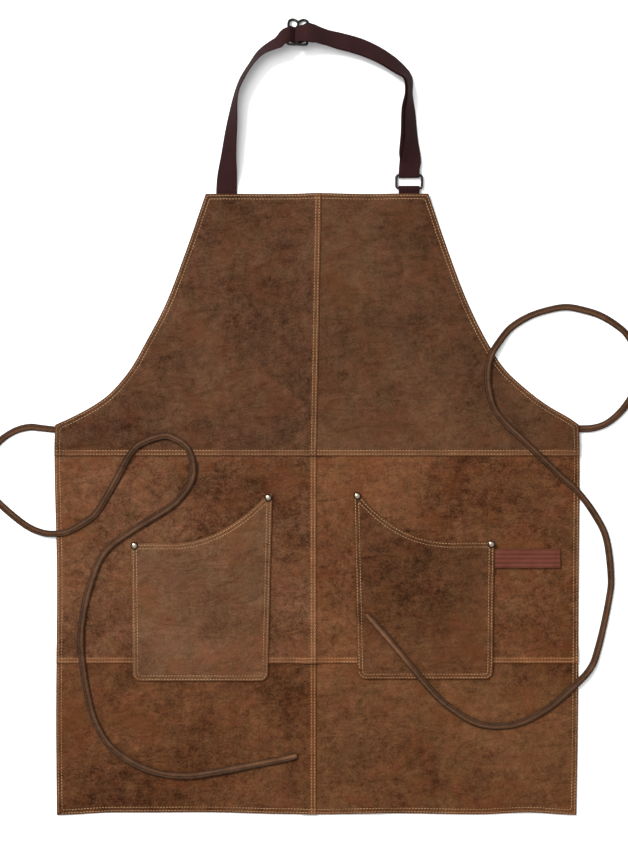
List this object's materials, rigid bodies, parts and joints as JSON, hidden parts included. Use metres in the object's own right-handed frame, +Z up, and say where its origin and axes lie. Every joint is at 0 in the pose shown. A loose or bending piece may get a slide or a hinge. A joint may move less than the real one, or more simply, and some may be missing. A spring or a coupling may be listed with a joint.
{
  "type": "leather bib apron",
  "caption": "brown leather work apron lying flat, with lapped panels, two riveted patch pockets, a webbing neck strap with metal slider and ring, and leather lace ties",
  "frame": {"origin": "on the surface that the apron lies on, under the middle of the box round everything but the ties", "axes": "+X to the right as seen from above, +Y from the hem towards the neck, +Z up out of the front of the apron"},
  "size_m": [0.828, 0.9952, 0.031],
  "materials": {
    "leather_brown": "oiled brown leather with light and dark patches",
    "leather_tie": "soft brown lace",
    "webbing_dark": "dark brown woven webbing",
    "webbing_red": "red-brown ribbed webbing",
    "metal_black": "black metal wire, satin",
    "metal_silver": "polished rivet heads"
  },
  "bodies": {
    "root": {"bottom_right": "leather_brown", "bottom_left": "leather_brown", "middle_right": "leather_brown", "middle_left": "leather_brown", "bib_right": "leather_brown", "bib_left": "leather_brown", "pocket_left": "leather_brown", "pocket_right": "leather_brown", "rivet_left_outer": "metal_silver", "rivet_left_inner": "metal_silver", "rivet_right_outer": "metal_silver", "rivet_right_inner": "metal_silver", "neck_strap": "webbing_dark", "slider": "metal_black", "ring": "metal_black", "ring_tab": "webbing_dark", "side_tab": "webbing_red", "tie_left": "leather_tie", "tie_right": "leather_tie"}
  },
  "joints": []
}
